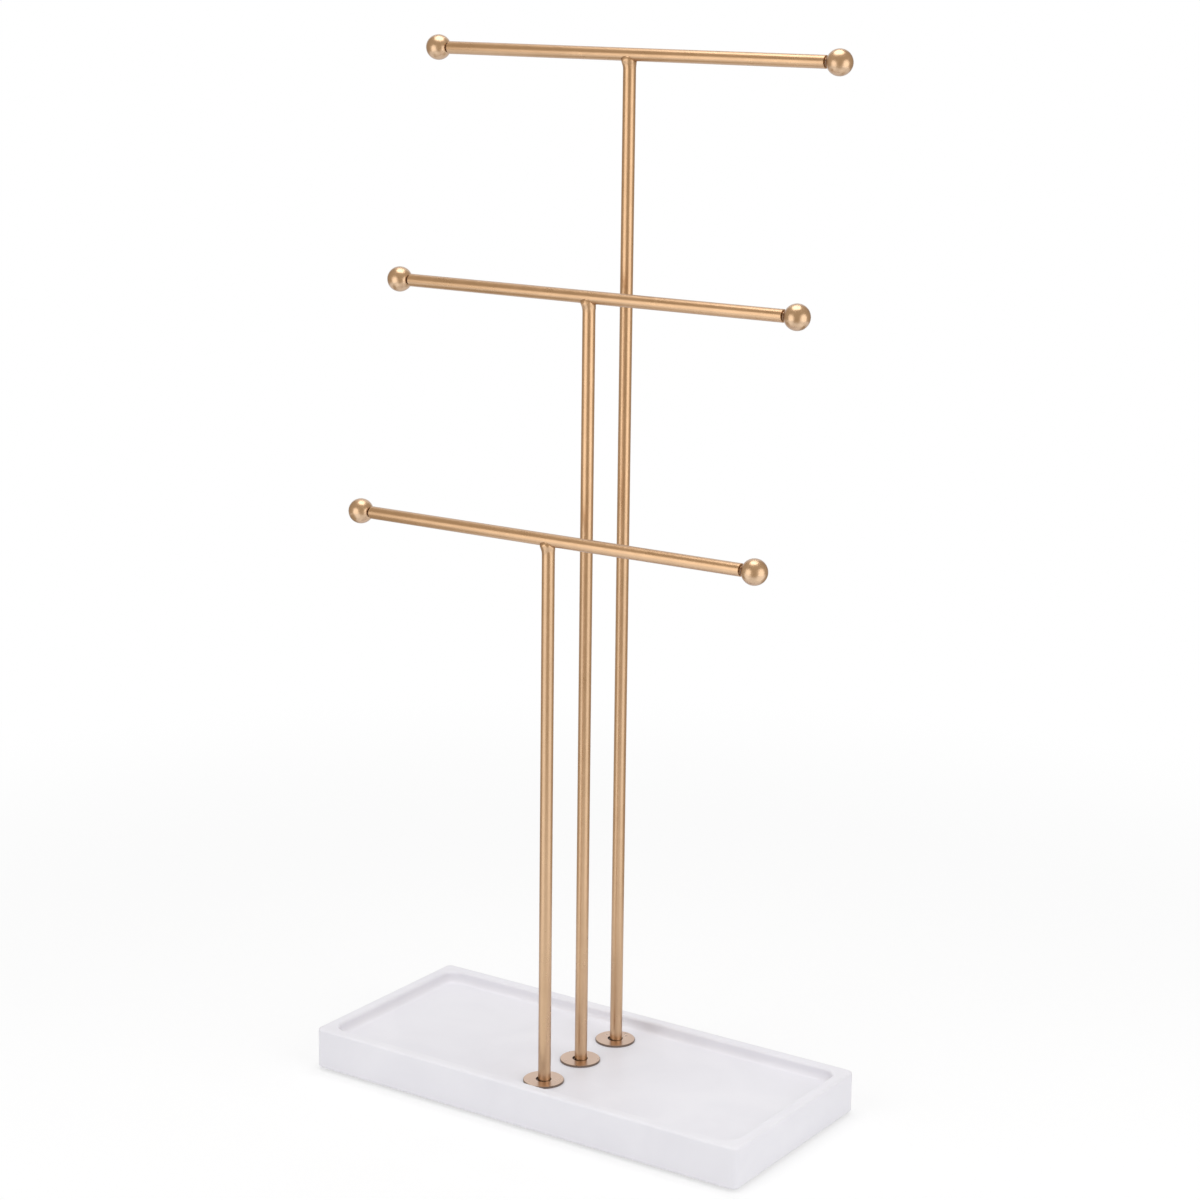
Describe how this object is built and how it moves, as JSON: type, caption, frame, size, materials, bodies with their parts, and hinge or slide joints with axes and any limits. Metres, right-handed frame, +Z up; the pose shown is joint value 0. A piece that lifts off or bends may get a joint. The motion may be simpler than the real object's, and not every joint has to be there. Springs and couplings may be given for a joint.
{
  "type": "jewelry tree",
  "caption": "Tiered T-bar jewelry tree: round gold posts with ball-ended swivelling crossbars stand in a row in a shallow rimmed stone tray, to hang necklaces and hold trinkets.",
  "frame": {"origin": "on the table, under the middle of the tray", "axes": "+Z up, X along the crossbars and the tray's long side, front (the lowest tier) at -Y"},
  "size_m": [0.2426, 0.109, 0.5007],
  "materials": {
    "white_marble": "satin",
    "champagne_gold": "satin",
    "braze_gold": "satin",
    "zinc_steel": "satin",
    "pad_rubber": "matte"
  },
  "bodies": {
    "base": {"base_tray": "white_marble", "foot_front_left": "pad_rubber", "foot_front_right": "pad_rubber", "foot_rear_left": "pad_rubber", "foot_rear_right": "pad_rubber", "low_rosette": "champagne_gold", "low_washer": "zinc_steel", "middle_rosette": "champagne_gold", "middle_washer": "zinc_steel", "top_rosette": "champagne_gold", "top_washer": "zinc_steel"},
    "low_tee": {"low_post": "champagne_gold", "low_crossbar": "champagne_gold", "low_left_ball": "champagne_gold", "low_right_ball": "champagne_gold", "low_braze": "braze_gold", "low_screw": "zinc_steel"},
    "middle_tee": {"middle_post": "champagne_gold", "middle_crossbar": "champagne_gold", "middle_left_ball": "champagne_gold", "middle_right_ball": "champagne_gold", "middle_braze": "braze_gold", "middle_screw": "zinc_steel"},
    "top_tee": {"top_post": "champagne_gold", "top_crossbar": "champagne_gold", "top_left_ball": "champagne_gold", "top_right_ball": "champagne_gold", "top_braze": "braze_gold", "top_screw": "zinc_steel"}
  },
  "joints": [
    {"name": "low_swivel", "type": "hinge", "parent": "base", "child": "low_tee", "pos_m": [0, -0.03075, 0.0105], "axis": [0, 0, 1], "range_deg": [-76, 76]},
    {"name": "middle_swivel", "type": "hinge", "parent": "base", "child": "middle_tee", "pos_m": [0, 0, 0.0105], "axis": [0, 0, 1], "range_deg": [-76, 76]},
    {"name": "top_swivel", "type": "hinge", "parent": "base", "child": "top_tee", "pos_m": [0, 0.03075, 0.0105], "axis": [0, 0, 1], "continuous": true}
  ]
}
